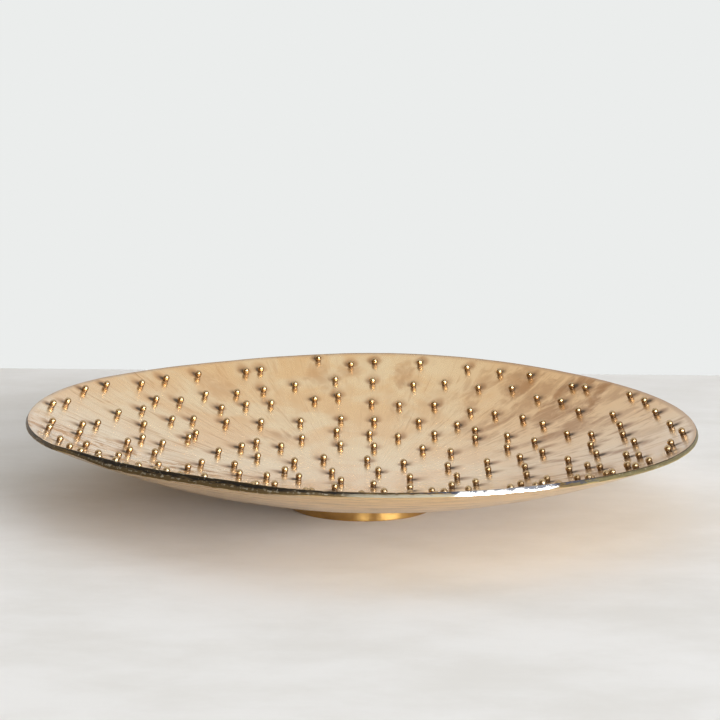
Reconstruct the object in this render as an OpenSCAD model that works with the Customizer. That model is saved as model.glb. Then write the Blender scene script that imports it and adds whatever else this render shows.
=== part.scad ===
// Shallow round brass dish on a ring foot, its inside set with loose rings of ball-headed studs.
// Millimetres, +Z up. The origin is the middle of the foot's underside, on the table.

/* [Dish] */
// Diameter across the rim
dish_d = 500; // [300:10:700]
// Height of the rim above the table
rim_height = 70; // [50:1:110]
// Thickness of the brass sheet
sheet_t = 3.5; // [2.8:0.1:6]

/* [Foot] */
// Outer diameter of the foot ring
foot_d = 110; // [70:1:180]
// Thickness of the foot ring's wall
foot_wall = 6; // [3:0.5:15]
// Height of the dish's lowest point above the table
foot_height = 12.5; // [6:0.5:20]
// Bevel on the foot's two lower edges
foot_bevel = 0.6; // [0.2:0.1:1.2]
// Room for the filler between the foot and the dish
braze_gap = 0.05; // [0.02:0.01:0.15]

/* [Studs] */
// Diameter of a stud's ball head
ball_d = 5.2; // [3:0.1:8]
// Diameter of a stud's shank
shank_d = 2.2; // [1:0.1:3]
// Bare length of shank between the dish and the ball
neck_l = 0.3; // [0.1:0.05:1.5]
// Depth of the blind hole that takes the shank
hole_depth = 2; // [1:0.1:2.4]
// Gap all round the shank, and under its end, for solder
solder_gap = 0.03; // [0.01:0.01:0.1]

/* [Stud layout] */
// Distance from the rim to the outermost ring of studs
rim_margin = 15; // [12:1:40]
// Radius of the innermost ring of studs
middle_ring_r = 12; // [8:1:30]
// How far a stud strays inwards or outwards, as a share of the ring pitch
radial_stray = 0.32; // [0:0.01:0.36]
// The same for the outermost ring, which keeps closer to its line
rim_stray = 0.2; // [0:0.01:0.3]
// How far a stud strays along its ring, as a share of the gap to the next stud
ring_stray = 0.3; // [0:0.01:0.35]

/* [Hidden] */
// Studs in each ring and the seed that scatters them, from the middle outwards
ring_counts = [2, 7, 14, 18, 25, 30, 41, 45, 45];
ring_seeds = [40378, 39711, 11466, 28723, 13352, 54908, 7282, 14940, 21640];

brass = [0.85, 0.72, 0.55];
foot_brass = [0.76, 0.58, 0.34];
stud_brass = [0.72, 0.55, 0.33];

// The dish is part of a hollow ball. Its inner face passes through the rim and the middle of the floor.
rim_r = dish_d / 2;
bowl_rise = rim_height - foot_height - sheet_t;
inner_r = (rim_r * rim_r + bowl_rise * bowl_rise) / (2 * bowl_rise);
outer_r = inner_r + sheet_t;
curve_z = foot_height + outer_r;

last_ring = len(ring_counts) - 1;
ring_pitch = (rim_r - rim_margin - middle_ring_r) / last_ring;
cut_over = 1;

// Radius of ring k
function ring_r(k) = middle_ring_r + k * ring_pitch;

// Largest radial stray in ring k, kept short where the ring itself is small
function stray(k) = k == last_ring ? rim_stray * ring_pitch : min(radial_stray * ring_pitch, ring_r(k) / 2);

// Radius and angle of each stud in ring k. The first random number turns the whole ring.
function stud_places(k) =
    let (n = ring_counts[k], step = 360 / n, noise = rands(-1, 1, 2 * n + 1, ring_seeds[k]))
    [for (i = [0 : n - 1]) [
        ring_r(k) + stray(k) * noise[2 * i + 2],
        step * (i + ring_stray * noise[2 * i + 1] + noise[0] / 2)
    ]];

// Puts its children on the inner face at radius r and angle a, with their +Z square to the face
module on_inner_face(r, a) {
    translate([0, 0, curve_z]) rotate([0, -asin(r / inner_r), a]) translate([0, 0, -inner_r]) children();
}

// A full ball about the middle of the dish's curve
module curve_ball(r) {
    translate([0, 0, curve_z]) sphere(r = r, $fn = 360);
}

// Blind hole for one shank, open above the face
module stud_hole() {
    translate([0, 0, -hole_depth]) cylinder(d = shank_d + 2 * solder_gap, h = hole_depth + cut_over, $fn = 16);
}

// Ball head with its shank, standing on the face
module stud() {
    shank_l = hole_depth - solder_gap + neck_l + ball_d / 2;
    translate([0, 0, neck_l + ball_d / 2]) {
        sphere(d = ball_d, $fn = 24);
        translate([0, 0, -shank_l]) cylinder(d = shank_d, h = shank_l, $fn = 16);
    }
}

module dish() {
    color(brass) difference() {
        intersection() {
            curve_ball(outer_r);
            cylinder(r = rim_r, h = rim_height + cut_over, $fn = 360);
        }
        curve_ball(inner_r);
        for (k = [0 : last_ring], p = stud_places(k)) on_inner_face(p[0], p[1]) stud_hole();
    }
}

// Turned ring, its top cut to the curve of the dish
module foot() {
    foot_r = foot_d / 2;
    bore_r = foot_r - foot_wall;
    blank_h = foot_height + foot_r * foot_r / outer_r;
    color(foot_brass) difference() {
        rotate_extrude($fn = 180) polygon([
            [bore_r + foot_bevel, 0], [foot_r - foot_bevel, 0], [foot_r, foot_bevel],
            [foot_r, blank_h], [bore_r, blank_h], [bore_r, foot_bevel]
        ]);
        curve_ball(outer_r + braze_gap);
    }
}

module stud_ring(k) {
    color(stud_brass) for (p = stud_places(k)) on_inner_face(p[0], p[1]) stud();
}

dish();
foot();
stud_ring(0);  // stud_ring_1
stud_ring(1);  // stud_ring_2
stud_ring(2);  // stud_ring_3
stud_ring(3);  // stud_ring_4
stud_ring(4);  // stud_ring_5
stud_ring(5);  // stud_ring_6
stud_ring(6);  // stud_ring_7
stud_ring(7);  // stud_ring_8
stud_ring(8);  // stud_ring_9
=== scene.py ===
"""The looks of a shallow brass dish on a turned foot, its inside set with rings of ball-headed studs.

Everything is in metres, +Z up, with the origin in the middle of the foot's underside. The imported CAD
part is the fixed frame: the dish, the foot and each ring of studs take their place from it.
"""

import logging
import math
from dataclasses import dataclass, field
from enum import Enum

import bmesh
import bpy
import numpy as np
from mathutils import Matrix, Vector


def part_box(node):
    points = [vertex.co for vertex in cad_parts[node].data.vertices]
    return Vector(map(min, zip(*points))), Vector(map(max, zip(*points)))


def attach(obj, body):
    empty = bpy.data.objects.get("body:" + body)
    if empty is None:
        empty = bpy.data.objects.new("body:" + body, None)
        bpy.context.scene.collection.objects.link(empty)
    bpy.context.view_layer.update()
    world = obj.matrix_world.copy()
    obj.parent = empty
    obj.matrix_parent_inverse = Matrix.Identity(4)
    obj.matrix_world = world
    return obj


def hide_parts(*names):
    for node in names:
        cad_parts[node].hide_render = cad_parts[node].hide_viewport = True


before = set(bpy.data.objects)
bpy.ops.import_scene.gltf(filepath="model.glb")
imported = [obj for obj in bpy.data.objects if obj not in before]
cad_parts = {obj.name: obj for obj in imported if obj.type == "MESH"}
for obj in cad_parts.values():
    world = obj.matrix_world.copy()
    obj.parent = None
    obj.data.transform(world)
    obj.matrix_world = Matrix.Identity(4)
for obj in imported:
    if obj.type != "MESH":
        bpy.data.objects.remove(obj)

LOG = logging.getLogger("brass_dish")
MM = 0.001
RINGS = 9
# How far the rim's mean height lies below the CAD dish's rim, so that its waves reach up to it
WAVE_ROOM = 1.65 * MM
# How far the rim stays inside the CAD dish's rim
RIM_ROOM = 0.02 * MM

Outline = list[tuple[float, float]]


class Grain(Enum):
    """Which way the polishing marks run."""

    OUTWARDS = "from the middle to the rim"
    ROUND = "round and round, as left by a lathe"


class Face(Enum):
    """Named float attributes that tell the parts of the dish's skin apart."""

    UNDERSIDE = "underside"
    EDGE = "edge"
    DOWN_EDGE = "down_edge"
    POLISH_SHADOW = "polish_shadow"


# ---------- node trees


class Term:
    """A socket that takes part in Python arithmetic: each operation adds one Math node."""

    def __init__(self, tree: "Tree", socket: bpy.types.NodeSocket) -> None:
        """Keeps the tree and the output socket."""
        self.tree = tree
        self.socket = socket

    def _do(self, operation: str, *others: "Term | float", swap: bool = False) -> "Term":
        """Adds a Math node.

        Args:
            operation: the Math node's operation.
            others: the other operands.
            swap: puts this term second.

        Returns:
            The result as a new term.
        """
        parts = [self, *others]
        if swap:
            parts.reverse()
        return self.tree.add("ShaderNodeMath", {"operation": operation}, dict(enumerate(parts)))

    def __add__(self, other: "Term | float") -> "Term":
        """This plus other."""
        return self._do("ADD", other)

    __radd__ = __add__

    def __sub__(self, other: "Term | float") -> "Term":
        """This minus other."""
        return self._do("SUBTRACT", other)

    def __rsub__(self, other: "Term | float") -> "Term":
        """Other minus this."""
        return self._do("SUBTRACT", other, swap=True)

    def __mul__(self, other: "Term | float") -> "Term":
        """This times other."""
        return self._do("MULTIPLY", other)

    __rmul__ = __mul__

    def __truediv__(self, other: "Term | float") -> "Term":
        """This over other."""
        return self._do("DIVIDE", other)

    def __rtruediv__(self, other: "Term | float") -> "Term":
        """Other over this."""
        return self._do("DIVIDE", other, swap=True)

    def __pow__(self, power: "Term | float") -> "Term":
        """This to a power."""
        return self._do("POWER", power)

    def __rpow__(self, base: "Term | float") -> "Term":
        """A base to the power of this."""
        return self._do("POWER", base, swap=True)

    def __neg__(self) -> "Term":
        """Minus this."""
        return self * -1.0

    def __abs__(self) -> "Term":
        """The size of this, without its sign."""
        return self._do("ABSOLUTE")

    def sqrt(self) -> "Term":
        """The square root."""
        return self._do("SQRT")

    def sin(self) -> "Term":
        """The sine, of radians."""
        return self._do("SINE")

    def cos(self) -> "Term":
        """The cosine, of radians."""
        return self._do("COSINE")

    def clamp(self) -> "Term":
        """This, held between 0 and 1."""
        return self.tree.add("ShaderNodeClamp", {}, {"Value": self})

    def least(self, limit: "Term | float", blend: float) -> "Term":
        """The smaller of this and a limit, one turning smoothly into the other over blend."""
        return self._do("SMOOTH_MIN", limit, blend)

    def most(self, limit: "Term | float") -> "Term":
        """The larger of this and a limit."""
        return self._do("MAXIMUM", limit)

    def ramp(self, low: float, high: float) -> "Term":
        """A smooth step: 0 at low, 1 at high, which may be less than low."""
        sockets = {"Value": self, "From Min": low, "From Max": high}
        return self.tree.add("ShaderNodeMapRange", {"interpolation_type": "SMOOTHSTEP"}, sockets)


class Tree:
    """Fills a node tree through one method, add."""

    def __init__(self, nodes: bpy.types.NodeTree) -> None:
        """Empties the tree and keeps it."""
        self.nodes = nodes
        nodes.nodes.clear()

    def add(
        self, kind: str, settings: dict | None = None, sockets: dict | None = None, out: int | str = 0
    ) -> Term:
        """Adds one node.

        Args:
            kind: the node's type.
            settings: its properties.
            sockets: values or terms for its inputs, by name or number.
            out: which output to return.

        Returns:
            The chosen output, or the first input of a node that has no output.
        """
        node = self.nodes.nodes.new(kind)
        for name, value in (settings or {}).items():
            setattr(node, name, value)
        for name, value in (sockets or {}).items():
            socket = node.inputs[name]
            if isinstance(value, Term):
                self.nodes.links.new(value.socket, socket)
            else:
                socket.default_value = value
        return Term(self, node.outputs[out] if len(node.outputs) else node.inputs[0])

    def also(self, term: Term, out: int | str) -> Term:
        """Another output of the node that a term comes from."""
        return Term(self, term.socket.node.outputs[out])

    def pack(self, x: Term | float, y: Term | float, z: Term | float = 0.0) -> Term:
        """Makes a vector of three values."""
        return self.add("ShaderNodeCombineXYZ", {}, {"X": x, "Y": y, "Z": z})

    def scaled(self, vector: Term, scale: float) -> Term:
        """A vector times a number."""
        return self.add("ShaderNodeVectorMath", {"operation": "SCALE"}, {0: vector, "Scale": scale})

    def noise(self, where: Term, detail: float = 2.0, rough: float = 0.5, warp: float = 0.0) -> Term:
        """Noise with cells one unit wide: its finer layers, how strong they are, and how warped it is."""
        sockets = {"Vector": where, "Scale": 1.0, "Detail": detail, "Roughness": rough, "Distortion": warp}
        return self.add("ShaderNodeTexNoise", {"noise_dimensions": "3D"}, sockets)

    def blend(self, amount: Term | float, first: "Term | tuple", second: "Term | tuple") -> Term:
        """Mixes two colours: an amount of 0 gives the first, 1 the second."""
        a, b = ((*c, 1.0) if isinstance(c, tuple) else c for c in (first, second))
        return self.add("ShaderNodeMix", {"data_type": "RGBA"}, {0: amount, 6: a, 7: b}, out=2)

    def bump(self, strength: float, distance: float, height: Term) -> Term:
        """Relief: how strong it is, how high at most, and its height at the shaded point."""
        return self.add("ShaderNodeBump", {}, {"Strength": strength, "Distance": distance, "Height": height})

    def surface(self, sockets: dict) -> None:
        """Ends a material with one Principled shader, given its sockets."""
        shader = self.add("ShaderNodeBsdfPrincipled", {}, sockets)
        self.add("ShaderNodeOutputMaterial", {}, {"Surface": shader})


@dataclass(frozen=True)
class Polar:
    """Where a point is, seen from the dish's upright middle line."""

    tree: Tree
    place: Term
    x: Term
    y: Term
    out_x: Term
    out_y: Term
    radius: Term
    height: Term

    @classmethod
    def of(cls, tree: Tree) -> "Polar":
        """Works out the radius and the outward direction of the shaded point.

        Args:
            tree: the material's tree.

        Returns:
            The point, plain and in polar form.
        """
        place = tree.add("ShaderNodeTexCoord", out="Object")
        x = tree.add("ShaderNodeSeparateXYZ", {}, {0: place})
        y, z = tree.also(x, 1), tree.also(x, 2)
        radius = (x * x + y * y).sqrt().most(0.5 * MM)
        return cls(tree, place, x, y, x / radius, y / radius, radius, z)

    def towards(self, degrees: float) -> Term:
        """The cosine of how far round the dish the point is from a direction."""
        turn = math.radians(degrees)
        return self.out_x * math.cos(turn) + self.out_y * math.sin(turn)

    def edge_marks(self, fine: float, down: Term) -> Term:
        """A vector to read noise at on the edge: so many cells per radian, and its own third part."""
        return self.tree.pack(self.out_x * fine, self.out_y * fine, down)

    def marks(self, grain: Grain, fine: float, length: float, shift: float = 0.0) -> Term:
        """A vector that stretches noise into polishing marks.

        Args:
            grain: which way they run.
            fine: how many lie side by side, per radian outwards or per metre round and round.
            length: how often they break, per metre outwards or per radian round and round.
            shift: a number that makes a different set.

        Returns:
            The vector to read noise at.
        """
        if grain is Grain.OUTWARDS:
            return self.tree.pack(self.out_x * fine + shift, self.out_y * fine, self.radius * length)
        across = self.radius * fine
        return self.tree.pack(self.out_x * length + shift, self.out_y * length, across + self.height * fine)


# ---------- finishes


def new_material(name: str) -> tuple[bpy.types.Material, Tree]:
    """Makes an empty node material.

    Args:
        name: its name.

    Returns:
        The material and its tree.
    """
    material = bpy.data.materials.new(name)
    material.use_nodes = True
    return material, Tree(material.node_tree)


@dataclass(frozen=True)
class Stain:
    """A soft brown cloud that the buffing wheel left on the inside, places in metres."""

    x: float
    y: float
    wide: float
    long: float
    depth: float


STAINS = (
    Stain(0.140, 0.160, 0.014, 0.034, 0.60),
    Stain(0.150, 0.118, 0.017, 0.026, 0.90),
    Stain(0.162, 0.086, 0.013, 0.030, 0.75),
    Stain(0.190, 0.078, 0.012, 0.028, 0.55),
    Stain(0.198, 0.124, 0.014, 0.034, 0.50),
    Stain(0.126, 0.190, 0.014, 0.026, 0.60),
    Stain(0.096, 0.192, 0.012, 0.032, 0.50),
    Stain(0.034, 0.216, 0.010, 0.020, 0.55),
    Stain(0.032, 0.164, 0.012, 0.018, 0.40),
    Stain(-0.066, 0.108, 0.012, 0.016, 0.55),
    Stain(-0.034, 0.216, 0.016, 0.018, 0.45),
    Stain(-0.012, 0.226, 0.014, 0.012, 0.40),
    Stain(-0.120, 0.180, 0.018, 0.022, 0.40),
    Stain(0.215, 0.020, 0.014, 0.024, 0.40),
)


@dataclass(frozen=True)
class PolishedSheet:
    """The dish's sheet: polished outwards inside, streaked with painted shade below, dark and beaten on its
    edge.
    """

    cream: tuple = (0.96, 0.72, 0.41)
    # The colour of the painted reflection: paler streaks on the inside's near side
    pale: tuple = (1.0, 0.90, 0.68)
    gold: tuple = (0.92, 0.59, 0.27)
    brown: tuple = (0.42, 0.19, 0.055)
    dull: tuple = (0.38, 0.20, 0.07)
    soot: tuple = (0.040, 0.029, 0.018)
    below: tuple = (0.93, 0.65, 0.29)
    edge: tuple = (0.15, 0.09, 0.03)
    patina: tuple = (0.035, 0.024, 0.012)
    khaki: tuple = (0.17, 0.14, 0.065)
    glint: tuple = (0.42, 0.30, 0.13)
    # Near-white: a bare band of the edge, painted with the glare of the low lamps
    rubbed_glare: tuple = (0.95, 0.93, 0.88)
    worn: tuple = (0.25, 0.22, 0.155)
    fleck: tuple = (0.34, 0.30, 0.22)
    burr: tuple = (0.018, 0.015, 0.012)
    olive: tuple = (0.10, 0.066, 0.028)
    steel: tuple = (0.035, 0.038, 0.055)
    burr_at: float = -117.5
    # Where round the edge the painted glare lies, in degrees
    rubbed_glare_at: float = -67.0
    worn_at: float = -83.0
    khaki_at: float = -26.0

    def stained(self, at: Polar) -> Term:
        """How stained the shaded point is by the brown clouds.

        Args:
            at: the shaded point.

        Returns:
            A value from 0 to 1.
        """
        feather = at.tree.noise(at.marks(Grain.OUTWARDS, 15.0, 36.0, 4.0), 5.0, 0.62, 0.8) - 0.5
        total = None
        for stain in STAINS:
            far = math.hypot(stain.x, stain.y)
            ux, uy = stain.x / far, stain.y / far
            along = ((at.x - stain.x) * ux + (at.y - stain.y) * uy) / stain.long
            across = ((at.y - stain.y) * ux - (at.x - stain.x) * uy) / stain.wide
            spot = (1.0 + feather * 5.0 - along * along - across * across).ramp(-0.4, 1.5) * stain.depth
            total = spot if total is None else total.most(spot)
        return total

    def inner(self, at: Polar, shadow: Term) -> tuple[Term, ...]:
        """The inside: cream and gold clouds, brown smears, fine lines, and soot behind the studs.

        Args:
            at: the shaded point.
            shadow: how much of the point the buffing wheel missed.

        Returns:
            Its colour, its roughness, its relief, and how much brown cover and painted shade hide the metal.
        """
        tree = at.tree
        sideways = abs(at.out_x)
        # Towards the right the inside is painted darker and browner, most on the far side; brown smears
        # gather there too
        right = at.x.ramp(0.03, 0.16)
        far_side = at.y.ramp(0.0, 0.14)
        open_part = at.radius.ramp(0.06, 0.16)
        cloud = tree.noise(tree.scaled(at.place, 18.0), 4.0, 0.55, 0.6)
        streak = tree.noise(at.marks(Grain.OUTWARDS, 40.0, 24.0), 4.0, 0.62, 0.5)
        line = tree.noise(at.marks(Grain.OUTWARDS, 120.0, 22.0, 2.0), 2.0, 0.6, 0.3)
        smear = tree.noise(at.marks(Grain.OUTWARDS, 11.0, 24.0, 7.0), 6.0, 0.60, 0.35)
        lines = (streak.ramp(0.50, 0.72) * 0.60 + line.ramp(0.54, 0.76) * 0.40) * (0.25 + sideways * 0.75)
        smears = smear.ramp(0.45, 0.70) * (0.14 + right * 0.86)
        halo = shadow.ramp(0.0, 0.5) * (0.30 + smear.ramp(0.35, 0.6) * 0.5)
        brim = at.radius.ramp(0.242, 0.249) * (0.45 + right * 0.3)
        sooty = (shadow * 1.9 - 0.55).clamp() * 0.94
        near_left = at.y.ramp(0.035, -0.02) * at.y.ramp(-0.17, -0.10) * at.x.ramp(-0.01, -0.09)
        speck = tree.noise(at.marks(Grain.OUTWARDS, 13.0, 34.0, 12.0), 6.0, 0.68, 1.2)
        speck = speck.ramp(0.505, 0.585) * near_left
        # Lines, smears, stains, halos, the brim and blotches brown the metal, with a flat painted shade over
        # the right side
        tarnish_and_shade = (lines * open_part).clamp()
        for more in (smears * open_part, self.stained(at), halo, brim, right * 0.14, speck):
            tarnish_and_shade = tarnish_and_shade.most(more)
        # Painted reflection: paler streaks over the near side of the inside, fading towards the far side and
        # the right
        pale_streaks = tree.noise(at.marks(Grain.OUTWARDS, 14.0, 20.0, 3.0), 3.0, 0.55, 0.3)
        pale_reflection = (at.radius.ramp(0.07, 0.18) * (0.4 - at.out_y)).clamp() * pale_streaks.ramp(0.43, 0.57)
        # Painted shade: the cream clouds fade to gold towards the right and the far side
        creamy = cloud.ramp(0.38, 0.62) * (1.0 - right * (0.4 + far_side * 0.6))
        colour = tree.blend(creamy.clamp(), self.gold, self.cream)
        colour = tree.blend(pale_reflection * (1.0 - right * 0.8) * 0.9, colour, self.pale)
        colour = tree.blend(tarnish_and_shade, colour, self.brown)
        # How much brown, soot and painted shade cover the metal
        film_and_shade = (tarnish_and_shade * 0.6).most(sooty).most(speck * 0.75)
        colour = tree.blend(film_and_shade, colour, tree.blend(sooty, self.dull, self.soot))
        rough = 0.21 + streak * 0.12 + film_and_shade * 0.30
        relief = streak * 0.4 + line * 0.1 + cloud * 1.5
        return colour, rough, relief, film_and_shade

    def rim(self, at: Polar, down: Term) -> tuple[Term, Term, Term, Term]:
        """The cut edge: olive and beaten, bare with painted white glare to the right, a dark burr to the
        left.

        Args:
            at: the shaded point.
            down: 0 at the edge's upper corner, 1 at its lower corner.

        Returns:
            Its colour, its roughness, its relief and how bare of patina its metal is.
        """
        tree = at.tree
        beaten = tree.noise(tree.scaled(at.place, 420.0), 3.0)
        grain = tree.noise(at.edge_marks(34.0, down * 6.0), 3.0, 0.6)
        streak = tree.noise(at.edge_marks(14.0, down * 7.0 + 2.0), 4.0, 0.65)
        chips = tree.noise(at.edge_marks(38.0, down * 1.2 + 5.0), 3.0, 0.6)
        jagged = (grain - 0.5) * 0.014
        burred = (at.towards(self.burr_at) + jagged).ramp(0.87, 0.90)
        # Painted glare: a narrow band, where the edge mirrors the low lamps, turns near-white, bare and
        # smooth
        rubbed_glare = (at.towards(self.rubbed_glare_at) + jagged).ramp(0.988, 0.992)
        worn = (at.towards(self.worn_at) + jagged).ramp(0.983, 0.991)
        worn = worn * (down + (grain - 0.5) * 0.6).ramp(0.30, 0.55)
        chipped = (0.80 + (chips - 0.5) * 8.0 - down * 2.2).ramp(0.25, 0.4)
        chipped = chipped * at.towards(self.rubbed_glare_at).ramp(0.94, 0.98)
        burr = tree.blend((down + grain * 1.2).ramp(0.92, 1.22), self.burr, self.olive)
        seam = (1.0 - abs(down - 0.62 + (grain - 0.5) * 0.7) * 9.0).clamp() * beaten.ramp(0.48, 0.60)
        khaki = at.towards(self.khaki_at).ramp(0.84, 0.90)
        colour = self.edge
        for amount, tone in (
            (khaki, self.khaki),
            (streak.ramp(0.38, 0.64) * (1.0 - khaki * 0.4), self.patina),
            (down.ramp(0.70, 0.92) * streak.ramp(0.60, 0.40) * 0.7, self.glint),
            (burred, burr),
            ((beaten.ramp(0.62, 0.70) * 0.5).most(seam * burred), self.fleck),
            (worn, self.worn),
            ((0.26 + (grain - 0.5) * 0.4 - down).ramp(0.0, 0.10) * 0.9, self.patina),
            (rubbed_glare, self.rubbed_glare),
            (chipped * 0.9, self.steel),
        ):
            colour = tree.blend(amount, colour, tone)
        bare = (0.40 + rubbed_glare * 0.60) * (1.0 - chipped * 0.95)
        rough = 0.46 - rubbed_glare * 0.30 + chipped * 0.35
        return colour, rough, beaten * (7.0 - rubbed_glare * 5.0) + chipped * 2.0, bare

    def material(self) -> bpy.types.Material:
        """Builds the material.

        Returns:
            The finished material.
        """
        material, tree = new_material("polished_brass_sheet")
        at = Polar.of(tree)
        below, edge, down, shadow = (
            tree.add("ShaderNodeAttribute", {"attribute_name": face.value}, out="Fac")
            for face in (Face.UNDERSIDE, Face.EDGE, Face.DOWN_EDGE, Face.POLISH_SHADOW)
        )
        shadow = shadow * (1.0 - below)
        inside, inner_rough, inner_relief, film_and_shade = self.inner(at, shadow)
        rings = tree.noise(at.marks(Grain.ROUND, 160.0, 6.0, 9.0), 5.0, 0.66, 0.3)
        rim, rim_rough, rim_relief, bare = self.rim(at, down)

        # Below: brown streaks along the turning rings, and a painted shade over the left, where the shadowed
        # floor mirrors
        streaks_and_shade = rings.ramp(0.42, 0.66) * 0.42 + at.x.ramp(0.04, -0.12) * 0.42
        under = tree.blend(streaks_and_shade, self.below, self.dull)
        film_and_shade = film_and_shade * (1.0 - below) + streaks_and_shade * below
        colour = tree.blend(edge, tree.blend(below, inside, under), rim)
        rough = inner_rough * (1.0 - below) + (0.08 + rings * 0.10) * below
        rough = rough * (1.0 - edge) + rim_rough * edge
        relief = inner_relief * (1.0 - below) + rings * 0.3 * below
        relief = relief * (1.0 - edge) + rim_relief * edge
        tree.surface(
            {
                "Base Color": colour,
                "Metallic": (1.0 - film_and_shade) * (1.0 - edge) + bare * edge,
                "Roughness": rough,
                "Normal": tree.bump(0.35, 0.06 * MM, relief),
                "Coat Weight": (1.0 - edge) * (1.0 - below) * (1.0 - film_and_shade),
                "Coat Roughness": 0.18,
                "Specular IOR Level": 0.12,
            }
        )
        return material


@dataclass(frozen=True)
class TurnedFoot:
    """The foot's satin finish: fine lathe lines and a yellower brass."""

    bright: tuple = (0.62, 0.37, 0.11)
    worn: tuple = (0.32, 0.16, 0.04)

    def material(self) -> bpy.types.Material:
        """Builds the material.

        Returns:
            The finished material.
        """
        material, tree = new_material("satin_brass_foot")
        at = Polar.of(tree)
        lines = tree.noise(at.marks(Grain.ROUND, 2600.0, 1.4), 2.0, 0.6)
        cloud = tree.noise(at.marks(Grain.ROUND, 90.0, 3.0, 3.0), 3.0)
        colour = tree.blend(cloud.ramp(0.4, 0.75) * 0.7, self.bright, self.worn)
        tree.surface(
            {
                "Base Color": colour,
                "Metallic": 1.0,
                "Roughness": 0.26 + lines * 0.06 + cloud * 0.04,
                "Anisotropic": 0.85,
                "Anisotropic Rotation": 0.25,
                "Coat Weight": 0.9,
                "Coat Roughness": 0.16,
                "Normal": tree.bump(0.3, 0.05 * MM, lines),
            }
        )
        return material


@dataclass(frozen=True)
class StudBrass:
    """The studs' finish: bright balls of many tones, dark at their outline, with residue and painted shade
    below.
    """

    bright: tuple = (0.66, 0.47, 0.24)
    coppery: tuple = (0.56, 0.36, 0.16)
    # Dark brown: soldering residue at the neck, dark flecks, and painted shade over the lower half of each
    # ball
    flux_and_shade: tuple = (0.16, 0.09, 0.045)
    outline: tuple = (0.30, 0.18, 0.09, 1.0)

    def material(self) -> bpy.types.Material:
        """Builds the material.

        Returns:
            The finished material.
        """
        material, tree = new_material("stud_brass")
        tone, neck = (
            tree.add("ShaderNodeAttribute", {"attribute_name": name}, out="Fac") for name in ("tone", "neck")
        )
        fleck = tree.noise(tree.scaled(tree.add("ShaderNodeTexCoord", out="Object"), 700.0), 3.0)
        colour = tree.blend(tone, self.bright, self.coppery)
        colour = tree.blend(fleck.ramp(0.58, 0.8) * 0.4, colour, self.flux_and_shade)
        # Soldering residue at the neck, and painted shade over the lower half of the ball
        colour = tree.blend((neck * (0.45 + fleck * 0.8)).clamp(), colour, self.flux_and_shade)
        tree.surface(
            {
                "Base Color": colour,
                "Metallic": 1.0,
                "Roughness": 0.22 + fleck * 0.10 + neck * 0.25,
                "Specular Tint": self.outline,
                "Coat Weight": 1.0,
                "Coat Roughness": 0.12,
                "Normal": tree.bump(0.25, 0.1 * MM, fleck),
            }
        )
        return material


# ---------- meshes


class ShapeTree(Tree):
    """A Geometry Nodes tree with named inputs, run once on an object and then applied."""

    def __init__(self, name: str, inputs: dict[str, tuple[str, object]]) -> None:
        """Makes the tree.

        Args:
            name: its name.
            inputs: for each input, its socket type and its value.
        """
        super().__init__(bpy.data.node_groups.new(name, "GeometryNodeTree"))
        sides = self.nodes.interface
        sides.new_socket("Geometry", in_out="INPUT", socket_type="NodeSocketGeometry")
        self.values = inputs
        for label, (kind, _) in inputs.items():
            sides.new_socket(label, in_out="INPUT", socket_type=kind)
        sides.new_socket("Geometry", in_out="OUTPUT", socket_type="NodeSocketGeometry")
        self.entry = self.nodes.nodes.new("NodeGroupInput")

    def given(self, label: str) -> Term:
        """One of the tree's inputs."""
        return Term(self, self.entry.outputs[label])

    def mark(self, geometry: Term, label: str, value: Term, kind: str = "FLOAT") -> Term:
        """Stores a value on every point of a geometry, as a named attribute."""
        sockets = {"Geometry": geometry, "Name": label, "Value": value}
        return self.add("GeometryNodeStoreNamedAttribute", {"data_type": kind, "domain": "POINT"}, sockets)

    def random(self, low: Term | float, high: Term | float, seed: Term) -> Term:
        """A random number for each point, between two others."""
        settings = {"data_type": "FLOAT"}
        return self.add("FunctionNodeRandomValue", settings, {2: low, 3: high, "Seed": seed}, out=1)

    def finish(self, geometry: Term, material: Term) -> None:
        """Ends the tree with Realize Instances and Set Material.

        Args:
            geometry: what has been made.
            material: the finish it gets.
        """
        real = self.add("GeometryNodeRealizeInstances", {}, {0: geometry})
        dressed = self.add("GeometryNodeSetMaterial", {}, {"Geometry": real, "Material": material})
        self.add("NodeGroupOutput", {}, {0: dressed})

    def run(self, start: bpy.types.Mesh, name: str) -> bpy.types.Object:
        """Runs the tree on a mesh and keeps the result as a plain mesh.

        Args:
            start: the mesh that goes in.
            name: the name of the piece that comes out.

        Returns:
            The finished object, at the origin.
        """
        piece = linked(name, start)
        modifier = piece.modifiers.new("make", "NODES")
        modifier.node_group = self.nodes
        for item in self.nodes.interface.items_tree:
            if item.in_out == "INPUT" and item.name in self.values:
                modifier[item.identifier] = self.values[item.name][1]
        graph = bpy.context.evaluated_depsgraph_get()
        made = bpy.data.meshes.new_from_object(piece.evaluated_get(graph), depsgraph=graph)
        piece.modifiers.remove(modifier)
        piece.data = made
        made.name = name
        return piece


def linked(name: str, data: bpy.types.ID) -> bpy.types.Object:
    """Makes an object and links it to the scene.

    Args:
        name: its name.
        data: the mesh, lamp or camera that it shows.

    Returns:
        The object, at the origin.
    """
    made = bpy.data.objects.new(name, data)
    bpy.context.scene.collection.objects.link(made)
    return made


def points_of(mesh: bpy.types.Mesh) -> np.ndarray:
    """Reads a mesh's vertex positions.

    Args:
        mesh: the mesh.

    Returns:
        One (x, y, z) row for each vertex.
    """
    flat = np.empty(len(mesh.vertices) * 3, np.float32)
    mesh.vertices.foreach_get("co", flat)
    return flat.reshape(-1, 3).astype(float)


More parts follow.
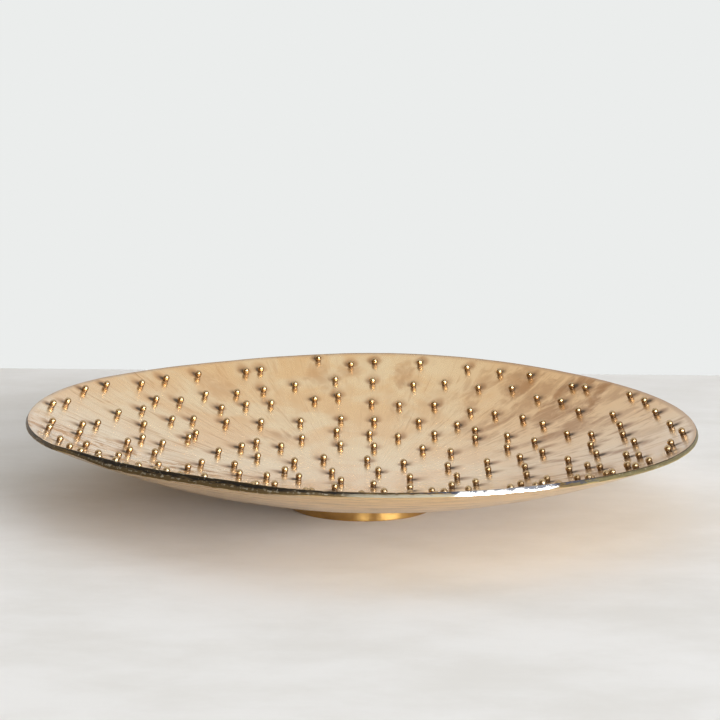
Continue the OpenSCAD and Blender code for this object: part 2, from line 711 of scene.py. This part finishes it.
def mesh_from(name: str, points: np.ndarray, faces: list[tuple[int, ...]]) -> bpy.types.Mesh:
    """Makes a smooth-shaded mesh.

    Args:
        name: its name.
        points: its vertices.
        faces: its faces, as vertex numbers.

    Returns:
        The mesh.
    """
    mesh = bpy.data.meshes.new(name)
    mesh.from_pydata([tuple(p) for p in points], [], faces)
    mesh.polygons.foreach_set("use_smooth", [True] * len(mesh.polygons))
    mesh.update()
    return mesh


def lathe(name: str, outline: Outline, steps: int, closed: bool) -> bpy.types.Mesh:
    """Turns an outline about the upright middle line.

    Args:
        name: the mesh's name.
        outline: (radius, height) pairs, with the metal on the left going along it; a radius of
            0 makes a pole.
        steps: how many steps go round.
        closed: joins the outline's end to its start.

    Returns:
        The turned mesh, its faces pointing outwards.
    """
    rows: list[list[int]] = []
    points: list[tuple[float, float, float]] = []
    for radius, height in outline:
        count = 1 if radius == 0 else steps
        rows.append([len(points) + i for i in range(count)])
        for i in range(count):
            turn = 2 * math.pi * i / steps
            points.append((radius * math.cos(turn), radius * math.sin(turn), height))
    faces: list[tuple[int, ...]] = []
    pairs = list(zip(rows, rows[1:] + ([rows[0]] if closed else [])))
    for low, high in pairs[: None if closed else len(rows) - 1]:
        for i in range(steps):
            j = (i + 1) % steps
            corners = [low[i % len(low)], low[j % len(low)], high[j % len(high)], high[i % len(high)]]
            faces.append(tuple(dict.fromkeys(corners)))
    return mesh_from(name, np.array(points), faces)


@dataclass(frozen=True)
class Lobe:
    """One wave of the rim: how many times it rises round the dish, how high, and where it peaks."""

    count: int
    height: float
    peak: float


@dataclass
class StudRing:
    """One ring of ball-headed studs, standing where the CAD part's ring stands."""

    number: int
    ball_r: float = 2.6 * MM
    ball_turns: tuple = (104, 76, 49, 22)
    sides: int = 12
    neck: float = 0.3 * MM
    solder_r: float = 2.3 * MM
    solder_taper: float = 0.1 * MM
    solder_bend: float = 0.5 * MM
    solder_top: float = 1.5 * MM
    # Where the soldering residue and the painted shade on each stud end, and over how far they fade
    flux_shade_top: float = 3.2 * MM
    flux_shade_fade: float = 2.0 * MM
    sunk: float = 0.25 * MM
    apart: float = 2.2 * MM
    lean: float = 0.05
    smallest: float = 0.97
    largest: float = 1.03
    drop_from: float = 0.3
    seed: int = 5
    centres: np.ndarray = field(default_factory=lambda: np.empty((0, 3)))

    @property
    def node(self) -> str:
        """The CAD node's name."""
        return f"stud_ring_{self.number}"

    def find(self) -> None:
        """Finds the middle of each ball in the CAD node."""
        points = points_of(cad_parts[self.node].data)
        turn = np.arctan2(points[:, 1], points[:, 0])
        order = np.argsort(turn)
        radius = np.hypot(points[:, 0], points[:, 1]).mean()
        gaps = np.diff(np.append(turn[order], turn[order[0]] + 2 * math.pi))
        # Along the ring, two studs lie further apart than two neighbouring points of one stud
        cuts = np.flatnonzero(gaps * radius > self.apart)
        order = np.roll(order, -(cuts[0] + 1))
        runs = np.split(order, np.cumsum(np.diff(cuts)))
        found = []
        for run in runs:
            stud = points[run]
            top = stud[:, 2].max()
            head = stud[stud[:, 2] > top - self.ball_r * 1.02]
            middle = (head.min(0) + head.max(0)) / 2
            found.append((middle[0], middle[1], top - self.ball_r))
        self.centres = np.array(found)

    def feet(self, curve_z: float) -> np.ndarray:
        """Where each stud's middle line meets the sheet, seen from above.

        Args:
            curve_z: height of the middle of the CAD dish's curve.

        Returns:
            One (x, y) row for each stud.
        """
        reach = self.ball_r + self.neck
        to_curve = np.array([0.0, 0.0, curve_z]) - self.centres
        inwards = to_curve / np.linalg.norm(to_curve, axis=1)[:, None]
        return (self.centres - inwards * reach)[:, :2]

    def pattern(self) -> bpy.types.Object:
        """Turns the one stud that all others copy: ball, neck and the solder at its foot.

        Returns:
            The pattern, standing on the origin.
        """
        middle = self.ball_r + self.neck
        outline = [(0.0, -self.sunk), (self.solder_r, -self.sunk)]
        outline.append((self.solder_r - self.solder_taper, self.solder_bend))
        outline.append((self.solder_r - self.solder_taper / 2, self.solder_top))
        for degrees in self.ball_turns:
            a = math.radians(degrees)
            outline.append((self.ball_r * math.sin(a), middle + self.ball_r * math.cos(a)))
        outline.append((0.0, middle + self.ball_r))
        mesh = lathe("stud_pattern", outline, self.sides, closed=False)
        # neck: 1 up to 1.2 mm above the sheet, 0 from 3.2 mm, just above the ball's middle: residue and
        # painted shade
        neck = mesh.attributes.new("neck", "FLOAT", "POINT")
        soot = (self.flux_shade_top - points_of(mesh)[:, 2]) / self.flux_shade_fade
        neck.data.foreach_set("value", np.clip(soot, 0, 1).astype(np.float32))
        return linked("stud_pattern", mesh)

    def make(self, dish: bpy.types.Object, finish: bpy.types.Material, feet: np.ndarray) -> bpy.types.Object:
        """Stands a stud on the sheet at each place.

        Args:
            dish: the finished dish.
            finish: the studs' material.
            feet: the places, seen from above.

        Returns:
            The ring as one plain mesh.
        """
        pattern = self.pattern()
        tree = ShapeTree(
            f"stand_studs_{self.number}",
            {
                "Dish": ("NodeSocketObject", dish),
                "Stud": ("NodeSocketObject", pattern),
                "Lean": ("NodeSocketFloat", self.lean),
                "Smallest": ("NodeSocketFloat", self.smallest),
                "Largest": ("NodeSocketFloat", self.largest),
                "Seed": ("NodeSocketInt", self.seed + self.number),
                "Finish": ("NodeSocketMaterial", finish),
            },
        )
        seed = tree.given("Seed")
        space = {"transform_space": "ORIGINAL"}
        sheet, stud = (
            tree.add("GeometryNodeObjectInfo", space, {0: tree.given(label)}, "Geometry")
            for label in ("Dish", "Stud")
        )
        ray = {"Target Geometry": sheet, "Ray Direction": (0.0, 0.0, -1.0), "Ray Length": 1.0}
        hit = tree.add("GeometryNodeRaycast", {}, ray, out="Hit Position")
        slope = tree.also(hit, "Hit Normal")
        lean = tree.given("Lean")
        sway = tree.add(
            "FunctionNodeRandomValue",
            {"data_type": "FLOAT_VECTOR"},
            {0: tree.pack(-lean, -lean, -lean), 1: tree.pack(lean, lean, lean), "Seed": seed},
        )
        up = tree.add("ShaderNodeVectorMath", {"operation": "ADD"}, {0: slope, 1: sway})
        size = tree.random(tree.given("Smallest"), tree.given("Largest"), seed + 40.0)
        tone = tree.random(0.0, 1.0, seed + 80.0)
        points = tree.mark(tree.given("Geometry"), "up", up, "FLOAT_VECTOR")
        points = tree.mark(tree.mark(points, "size", size), "tone", tone)
        points = tree.add("GeometryNodeSetPosition", {}, {"Geometry": points, "Position": hit})
        kept_up = tree.add("GeometryNodeInputNamedAttribute", {"data_type": "FLOAT_VECTOR"}, {"Name": "up"})
        kept_size = tree.add("GeometryNodeInputNamedAttribute", {"data_type": "FLOAT"}, {"Name": "size"})
        turn = tree.add("FunctionNodeAlignRotationToVector", {"axis": "Z"}, {"Vector": kept_up})
        scale = tree.pack(kept_size, kept_size, kept_size)
        sockets = {"Points": points, "Instance": stud, "Rotation": turn, "Scale": scale}
        stood = tree.add("GeometryNodeInstanceOnPoints", {}, sockets)
        tree.finish(stood, tree.given("Finish"))
        above = np.column_stack([feet, np.full(len(feet), self.drop_from)])
        piece = tree.run(mesh_from("places", above, []), f"studs_{self.number}")
        bpy.data.objects.remove(pattern)
        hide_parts(self.node)
        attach(piece, "root")
        return piece


@dataclass
class BeatenDish:
    """The dished sheet, sunk by hand: a round bowl with a waving rim and a square-cut, beaten edge.

    Marks on the edge are counted per radian, and dents in the bowl per metre.
    """

    rim_r: float
    rim_z: float
    floor_z: float
    sheet: float = 3.5 * MM
    around: int = 880
    inner_rows: int = 92
    edge_rows: int = 8
    outer_rows: int = 12
    flatness: float = 0.15
    rim_rake: float = 0.91
    wave_limit: float = 2.65 * MM
    wave_blend: float = 1.2 * MM
    lobes: tuple = (
        Lobe(1, 1.99 * MM, 180.0),
        Lobe(2, 1.70 * MM, 65.6),
        Lobe(3, 0.50 * MM, 74.7),
        Lobe(4, 0.56 * MM, 68.0),
        Lobe(5, 0.70 * MM, 14.2),
    )
    corner: float = 0.35 * MM
    edge_square: float = 6.0
    edge_mask: float = 40.0
    dents: float = 0.35 * MM
    broad_dents: float = 16.0
    small_dents: float = 42.0
    nicks: float = 0.9 * MM
    hammer_marks: float = 26.0
    tear_marks: float = 60.0
    lip: float = 2.6 * MM
    lip_peak: float = -121.0
    lip_from: float = 0.91
    lip_full: float = 0.98
    flat_side: float = 6.5 * MM
    flat_at: float = -127.0
    flat_from: float = 0.90
    shadow_long: float = 12.0 * MM
    shadow_reach: float = 2.6
    shadow_wide: float = 5.2 * MM
    shadow_head: float = 4.5 * MM
    shadow_start: float = 1.5 * MM
    shadow_rise: float = 2.5 * MM
    shadow_drift: float = 0.10
    halo_depth: float = 0.42
    halo_out: float = 4.0 * MM
    halo_long: float = 10.0 * MM
    halo_wide: float = 5.0 * MM
    weld: float = 0.002 * MM
    seed: int = 11

    def inputs(self, finish: bpy.types.Material) -> dict[str, tuple[str, object]]:
        """The named inputs of the dish's tree.

        Args:
            finish: the sheet's material.

        Returns:
            For each input, its socket type and its value.
        """
        sizes = {
            "Rim radius": self.rim_r,
            "Rim height": self.rim_z,
            "Floor height": self.floor_z,
            "Sheet": self.sheet,
            "Flatness": self.flatness,
            "Wave limit": self.wave_limit,
            "Corner": self.corner,
            "Dents": self.dents,
            "Nicks": self.nicks,
            "Lip": self.lip,
            "Lip peak": math.radians(self.lip_peak),
            "Flat side": self.flat_side,
            "Flat at": math.radians(self.flat_at),
            "Seed": float(self.seed),
        }
        inputs = {label: ("NodeSocketFloat", size) for label, size in sizes.items()}
        return inputs | {"Finish": ("NodeSocketMaterial", finish)}

    def wave(self, turn: Term, limit: Term) -> Term:
        """Adds up the rim's lobes.

        Args:
            turn: the angle round the dish.
            limit: the most that the rim rises.

        Returns:
            How far the rim lies above its mean height.
        """
        total = None
        for lobe in self.lobes:
            rise = (turn * float(lobe.count) - math.radians(lobe.peak * lobe.count)).cos() * lobe.height
            total = rise if total is None else total + rise
        return total.least(limit, self.wave_blend)

    def tree(self, finish: bpy.types.Material) -> ShapeTree:
        """Builds the rule that bends a flat grid into the whole skin of the sheet.

        The grid's long side goes round the dish. Its short side goes from the middle of the inside
        out to the rim, over the edge, and back along the underside to the middle.

        Args:
            finish: the sheet's material.

        Returns:
            The tree.
        """
        tree = ShapeTree("sink_dish", self.inputs(finish))
        rows = self.inner_rows + self.edge_rows + self.outer_rows
        counts = {"Vertices X": self.around + 1, "Vertices Y": rows + 1}
        grid = tree.add("GeometryNodeMeshGrid", {}, {"Size X": 1.0, "Size Y": 1.0, **counts})
        x = tree.add("ShaderNodeSeparateXYZ", {}, {0: tree.add("GeometryNodeInputPosition")})
        turn = (x + 0.5) * (2 * math.pi)
        row = (tree.also(x, 1) + 0.5) * float(rows)
        inner = (row / float(self.inner_rows)).clamp()
        over = ((row - float(self.inner_rows)) / float(self.edge_rows)).clamp()
        outer = ((row - float(self.inner_rows + self.edge_rows)) / float(self.outer_rows)).clamp() ** 2.0
        across = (1.0 - (over * math.pi).cos()) * 0.5
        at_edge = (over * self.edge_mask).clamp() * ((1.0 - over) * self.edge_mask).clamp()
        lipped = (turn - tree.given("Lip peak")).cos().ramp(self.lip_from, self.lip_full)
        flattened = (turn - tree.given("Flat at")).cos().ramp(self.flat_from, 1.0)
        skin = tree.mark(grid, Face.UNDERSIDE.value, across.ramp(0.5, 1.0))
        skin = tree.mark(tree.mark(skin, Face.EDGE.value, at_edge), Face.DOWN_EDGE.value, across)

        out_x, out_y = turn.cos(), turn.sin()
        rim, sheet, seed = tree.given("Rim radius"), tree.given("Sheet"), tree.given("Seed")
        corner, nicks = tree.given("Corner"), tree.given("Nicks")
        crown = 1.0 - abs(across * 2.0 - 1.0) ** self.edge_square
        hammer, torn = self.hammer_marks, self.tear_marks
        beat = tree.noise(tree.pack(out_x * hammer + seed, out_y * hammer, across * 1.6), 4.0, 0.6)
        tear = tree.noise(tree.pack(out_x * torn - seed, out_y * torn, across * 0.6), 3.0, 0.65)
        beaten_in = nicks * (beat - 0.35).most(0.0) * crown
        torn_off = nicks * tear.ramp(0.52, 0.72) * (1.0 - across) * at_edge
        along = (rim - corner) * (inner - outer) + corner * crown - beaten_in
        thick = tree.given("Lip") * (lipped * (0.55 + beat) + tear * 0.12)
        lift = sheet * (1.0 - across) - torn_off * 0.8 - thick * across * (along / rim).ramp(0.975, 1.0)

        share = along / rim
        square = share * share
        flat, base = tree.given("Flatness"), tree.given("Floor height")
        deep = tree.given("Rim height") - base - sheet * self.rim_rake
        wave = self.wave(turn, tree.given("Wave limit"))
        height = base + deep * ((1.0 - flat) * square + flat * square * square) + wave * square
        bend = deep * (2.0 * (1.0 - flat) * share + 4.0 * flat * square * share)
        climb = (bend + wave * share * 2.0) / rim
        steep = (1.0 + climb * climb).sqrt()
        radius = along - lift * climb / steep - tree.given("Flat side") * flattened * square * square
        at_x, at_y = out_x * radius, out_y * radius
        broad = tree.noise(tree.pack(at_x * self.broad_dents + seed, at_y * self.broad_dents), 3.0) - 0.5
        small = tree.noise(tree.pack(at_x * self.small_dents - seed, at_y * self.small_dents), 2.0) - 0.5
        dents = tree.given("Dents") * (broad * 2.2 + small * 0.7) * share.ramp(0.22, 0.5)
        place = tree.pack(at_x, at_y, height + lift / steep + dents)
        skin = tree.add("GeometryNodeSetPosition", {}, {"Geometry": skin, "Position": place})
        skin = tree.add("GeometryNodeMergeByDistance", {}, {"Geometry": skin, "Distance": self.weld})
        skin = tree.add("GeometryNodeSetShadeSmooth", {}, {"Geometry": skin, "Shade Smooth": True})
        tree.finish(skin, tree.given("Finish"))
        return tree

    def make(self, finish: bpy.types.Material) -> bpy.types.Object:
        """Sinks the dish.

        Args:
            finish: the sheet's material.

        Returns:
            The dish as one closed plain mesh.
        """
        piece = self.tree(finish).run(mesh_from("sheet_blank", np.zeros((1, 3)), []), "dish_sheet")
        face_outwards(piece.data)
        return piece

    def drawn_in(self, feet: np.ndarray) -> np.ndarray:
        """Moves studs inwards with the flattened side of the sheet.

        Args:
            feet: the studs' places on a round dish, seen from above.

        Returns:
            Their places on this one.
        """
        radius = np.hypot(feet[:, 0], feet[:, 1])
        near = np.clip((feet @ self.flat_way / radius - self.flat_from) / (1.0 - self.flat_from), 0, 1)
        pull = self.flat_side * near * near * (3 - 2 * near) * (radius / self.rim_r) ** 2
        return feet * (1 - pull / radius)[:, None]

    @property
    def flat_way(self) -> np.ndarray:
        """The direction of the flattened side."""
        turn = math.radians(self.flat_at)
        return np.array([math.cos(turn), math.sin(turn)])

    def mark_polish(self, piece: bpy.types.Object, feet: np.ndarray) -> None:
        """Marks where the buffing wheel couldn't reach: a tail outside each stud and a ring round it.

        Args:
            piece: the dish.
            feet: the studs' places, seen from above.
        """
        points = points_of(piece.data)
        spread = np.random.default_rng(self.seed)
        shadow = np.zeros(len(points))
        for x, y in feet:
            strong, long = spread.uniform(0.75, 1.0), self.shadow_long * spread.uniform(0.7, 1.25)
            drift = spread.uniform(-self.shadow_drift, self.shadow_drift)
            far = math.hypot(x, y)
            ux, uy = (x - drift * y) / far, (y + drift * x) / far
            near = np.flatnonzero(np.hypot(points[:, 0] - x, points[:, 1] - y) < self.shadow_reach * long)
            dx, dy = points[near, 0] - x, points[near, 1] - y
            out, side = dx * ux + dy * uy, dy * ux - dx * uy
            wide = self.shadow_wide * (1.0 + 0.25 * np.clip(out / long, 0, 2))
            past = np.clip(out - self.shadow_head, 0, 1)
            rise = np.clip((out + self.shadow_start) / self.shadow_rise, 0, 1)
            tail = rise * np.exp(-past / (0.5 * long))
            spot = ((out - self.halo_out) / self.halo_long) ** 2 + (side / self.halo_wide) ** 2
            halo = self.halo_depth * spread.uniform(0.2, 1.0) * np.exp(-spot)
            dark = strong * tail * np.exp(-((side / wide) ** 2))
            shadow[near] = np.maximum(shadow[near], np.maximum(dark, halo))
        mark = piece.data.attributes.new(Face.POLISH_SHADOW.value, "FLOAT", "POINT")
        mark.data.foreach_set("value", np.clip(shadow, 0, 1).astype(np.float32))

    def declare(self, piece: bpy.types.Object) -> None:
        """Tells the frame that a piece stands for the CAD dish.

        Args:
            piece: the finished dish.
        """
        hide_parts("dish")
        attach(piece, "root")


@dataclass
class FootRing:
    """The turned ring that the dish stands on, brazed to its underside."""

    outer_r: float
    dish: BeatenDish
    wall: float = 6.0 * MM
    bevel: float = 0.6 * MM
    braze: float = 0.9 * MM
    sunk: float = 0.4 * MM
    beside_bevel: float = 0.3 * MM
    above_bevel: float = 0.8 * MM
    steps: int = 256

    def underside(self, radius: float) -> float:
        """Follows the dish's underside near its middle.

        Args:
            radius: how far from the middle.

        Returns:
            The underside's height there.
        """
        share = radius / self.dish.rim_r
        deep = self.dish.rim_z - self.dish.floor_z - self.dish.sheet * self.dish.rim_rake
        return self.dish.floor_z + deep * (1 - self.dish.flatness) * share**2

    def arc(self, radius: float, height: float, size: float, turns: tuple[int, ...]) -> Outline:
        """Points of the outline on a circle of a size about a middle, at turns in degrees."""
        angles = [math.radians(turn) for turn in turns]
        return [(radius + size * math.cos(a), height + size * math.sin(a)) for a in angles]

    def make(self, finish: bpy.types.Material) -> bpy.types.Object:
        """Turns the ring, with its bevels and the bead of braze round its top.

        Args:
            finish: the foot's material.

        Returns:
            The ring as a closed mesh.
        """
        out, bore, soft, bead = self.outer_r, self.outer_r - self.wall, self.bevel, self.braze
        top, inner_top = self.underside(out), self.underside(bore)
        beside, above = soft + self.beside_bevel, soft + self.above_bevel
        outline = [(bore + soft, 0.0), (bore + beside, 0.0), (out - beside, 0.0), (out - soft, 0.0)]
        outline += self.arc(out - soft, soft, soft, (-60, -30, 0))
        outline += [(out, above), (out, top - 1.6 * bead), (out, top - bead)]
        outline += self.arc(out + bead, top - bead, bead, (150, 125, 100))
        outline += [(out + bead, top + self.sunk * 0.75), (out, top + self.sunk)]
        outline += [(bore, inner_top + self.sunk), (bore, inner_top - self.sunk * 1.25), (bore, above)]
        outline += self.arc(bore + soft, soft, soft, (180, 210, 240))
        mesh = lathe("foot_ring", outline, self.steps, closed=True)
        mesh.materials.append(finish)
        face_outwards(mesh)
        piece = linked("foot_ring", mesh)
        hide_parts("foot")
        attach(piece, "root")
        return piece


# ---------- studio


@dataclass(frozen=True)
class Lamp:
    """A soft lamp aimed at the dish. Its direction is turned from +X towards +Y, in degrees.

    It lights the room with its brightness, and metal mirrors it with its gleam.
    """

    name: str
    direction: float
    elevation: float
    distance: float
    wide: float
    high: float
    brightness: float
    gleam: float
    colour: tuple = (0.95, 1.0, 1.075)

    def hang(self) -> None:
        """Makes the lamp: one part that lights matt things, one that only metal mirrors."""
        matt = self.part(self.name, self.brightness)
        matt.visible_glossy = False
        matt.data.cycles.use_multiple_importance_sampling = False
        self.part(f"{self.name}_gleam", self.gleam).visible_diffuse = False

    def part(self, name: str, level: float) -> bpy.types.Object:
        """Makes one area light.

        Args:
            name: its name.
            level: how bright it is, next to a white sheet in full light.

        Returns:
            The light, which the camera doesn't see.
        """
        data = bpy.data.lights.new(name, "AREA")
        data.shape, data.size, data.size_y = "RECTANGLE", self.wide, self.high
        data.energy = level * math.pi * self.wide * self.high
        data.color = self.colour
        lamp = linked(name, data)
        turn, rise = math.radians(self.direction), math.radians(self.elevation)
        way = Vector((math.cos(turn) * math.cos(rise), math.sin(turn) * math.cos(rise), math.sin(rise)))
        lamp.location = way * self.distance
        lamp.visible_camera = False
        lamp.rotation_euler = (-way).to_track_quat("-Z", "Y").to_euler()
        return lamp


@dataclass
class Studio:
    """A pale stone floor against a white wall, soft lamps, and the camera low in front."""

    lens: float = 129.67
    camera_x: float = -2.0 * MM
    camera_y: float = -1.9
    camera_z: float = 0.4626
    tilt: float = 0.1834
    roll: float = 0.0102
    wall_y: float = 0.532
    floor_hole: float = 50.5 * MM
    hole_steps: int = 64
    floor_reach: float = 9.0
    wall: tuple = (0.831, 0.847, 0.839)
    stone: tuple = (0.76, 0.745, 0.715)
    stone_dark: tuple = (0.69, 0.67, 0.63)
    room: tuple = (0.77, 0.775, 0.77)
    room_side: tuple = (-0.1, 0.8, 0.6)
    unlit: tuple = (0.14, 0.088, 0.040)
    lamps: tuple = (
        Lamp("low_window", -46.0, 11.5, 14.0, 7.5, 3.15, 36.0, 27.0),
        Lamp("side_window", -18.0, 11.5, 14.0, 6.5, 3.15, 6.0, 3.0),
        Lamp("upper_window", -46.0, 29.0, 14.0, 11.5, 5.25, 3.0, 1.3),
        Lamp("front_window", -86.0, 13.0, 14.0, 4.0, 3.15, 15.0, 15.0),
        Lamp("high_window", -60.0, 52.0, 14.0, 10.5, 5.25, 1.8, 1.1),
    )

    def floor(self) -> bpy.types.Object:
        """Lays the floor, up to the wall's foot, with a hole inside the foot ring that lets light in.

        Returns:
            The floor.
        """
        far = self.floor_reach
        corners = [(far, self.wall_y), (-far, self.wall_y), (-far, -far), (far, -far)]
        turns = [2 * math.pi * i / self.hole_steps for i in range(self.hole_steps)]
        turns += [math.atan2(y, x) % (2 * math.pi) for x, y in corners]
        turns = np.array(sorted(set(turns)))
        ways = np.column_stack([np.cos(turns), np.sin(turns), np.zeros(len(turns))])
        sides = np.maximum(abs(ways), 1e-9)
        reach = np.minimum(far / sides[:, 0], np.where(ways[:, 1] > 0, self.wall_y, far) / sides[:, 1])
        count = len(turns)
        faces = [(i, count + i, count + (i + 1) % count, (i + 1) % count) for i in range(count)]
        mesh = mesh_from("floor", np.vstack([ways * self.floor_hole, ways * reach[:, None]]), faces)
        mesh.materials.append(self.stone_floor())
        piece = linked("floor", mesh)
        return piece

    def stone_floor(self) -> bpy.types.Material:
        """The floor's pale stone. Seen from below it isn't there, so that the foot shows.

        Returns:
            The material.
        """
        material, tree = new_material("pale_stone_floor")
        place = tree.add("ShaderNodeTexCoord", out="Object")
        scaled = tree.add("ShaderNodeVectorMath", {"operation": "MULTIPLY"}, {0: place, 1: (6.0, 9.0, 1.0)})
        mottle = tree.noise(scaled, 8.0, 0.62)
        colour = tree.blend(mottle.ramp(0.35, 0.68), self.stone, self.stone_dark)
        bump = tree.bump(0.25, 2.0 * MM, mottle)
        sockets = {"Base Color": colour, "Roughness": 0.75, "Specular IOR Level": 0.0, "Normal": bump}
        stone = tree.add("ShaderNodeBsdfPrincipled", {}, sockets)
        clear = tree.add("ShaderNodeBsdfTransparent")
        seen = tree.add("ShaderNodeLightPath", out="Is Camera Ray")
        below = tree.add("ShaderNodeNewGeometry", out="Backfacing")
        surface = tree.add("ShaderNodeMixShader", {}, {0: seen * below, 1: stone, 2: clear})
        tree.add("ShaderNodeOutputMaterial", {}, {"Surface": surface})
        return material

    def air(self) -> None:
        """Lights the room: pale at the back and overhead, unlit in front."""
        world = bpy.data.worlds.new("studio_room")
        world.use_nodes = True
        tree = Tree(world.node_tree)
        way = tree.add("ShaderNodeTexCoord", out="Generated")
        aim = {0: way, 1: tuple(Vector(self.room_side).normalized())}
        behind = tree.add("ShaderNodeVectorMath", {"operation": "DOT_PRODUCT"}, aim, out="Value")
        colour = tree.blend(behind.ramp(0.25, 0.6), self.unlit, self.room)
        seen = tree.add("ShaderNodeLightPath", out="Is Camera Ray")
        colour = tree.blend(seen, colour, self.wall)
        light = tree.add("ShaderNodeBackground", {}, {"Color": colour, "Strength": 1.0})
        tree.add("ShaderNodeOutputWorld", {}, {"Surface": light})
        bpy.context.scene.world = world

    def camera(self) -> None:
        """Sets up the camera."""
        data = bpy.data.cameras.new("camera")
        data.sensor_width, data.lens, data.clip_start, data.clip_end = 36.0, self.lens, 0.05, 50.0
        camera = linked("camera", data)
        turned = Matrix.Rotation(math.pi / 2 - self.tilt, 4, "X") @ Matrix.Rotation(self.roll, 4, "Z")
        camera.matrix_world = Matrix.Translation((self.camera_x, self.camera_y, self.camera_z)) @ turned
        bpy.context.scene.camera = camera

    def set_up(self) -> None:
        """Builds the whole studio."""
        self.floor()
        for lamp in self.lamps:
            lamp.hang()
        self.air()
        self.camera()
        bpy.context.scene.view_settings.view_transform = "Standard"


def face_outwards(mesh: bpy.types.Mesh) -> None:
    """Turns a closed mesh's faces outwards.

    Args:
        mesh: a mesh whose doubles are already merged.
    """
    work = bmesh.new()
    work.from_mesh(mesh)
    bmesh.ops.recalc_face_normals(work, faces=work.faces)
    if work.calc_volume(signed=True) < 0:
        bmesh.ops.reverse_faces(work, faces=work.faces)
    work.to_mesh(mesh)
    work.free()


def main() -> None:
    """Builds the dish, its foot and its studs, and the studio round them."""
    logging.basicConfig(level=logging.INFO, format="%(message)s")
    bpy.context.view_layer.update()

    low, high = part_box("dish")
    _, foot_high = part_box("foot")
    rim_r = min(high.x, high.y) - RIM_ROOM
    dish = BeatenDish(rim_r=rim_r, rim_z=high.z - WAVE_ROOM, floor_z=low.z)
    sheet = dish.make(PolishedSheet().material())
    dish.declare(sheet)
    LOG.info("dish: %d faces, rim %.1f mm across", len(sheet.data.polygons), 2 * rim_r / MM)

    foot = FootRing(outer_r=foot_high.x, dish=dish)
    ring = foot.make(TurnedFoot().material())
    LOG.info("foot: %d faces, %.1f mm across", len(ring.data.polygons), 2 * foot_high.x / MM)

    rise = high.z - low.z - dish.sheet
    curve_z = low.z + dish.sheet + (high.x**2 + rise**2) / (2 * rise)
    stud_brass = StudBrass().material()
    feet = []
    for number in range(1, RINGS + 1):
        studs = StudRing(number)
        studs.find()
        feet.append(dish.drawn_in(studs.feet(curve_z)))
        made = studs.make(sheet, stud_brass, feet[-1])
        LOG.info("stud ring %d: %d studs, %d faces", number, len(studs.centres), len(made.data.polygons))
    dish.mark_polish(sheet, np.concatenate(feet))

    Studio().set_up()


if __name__ == "__main__":
    main()
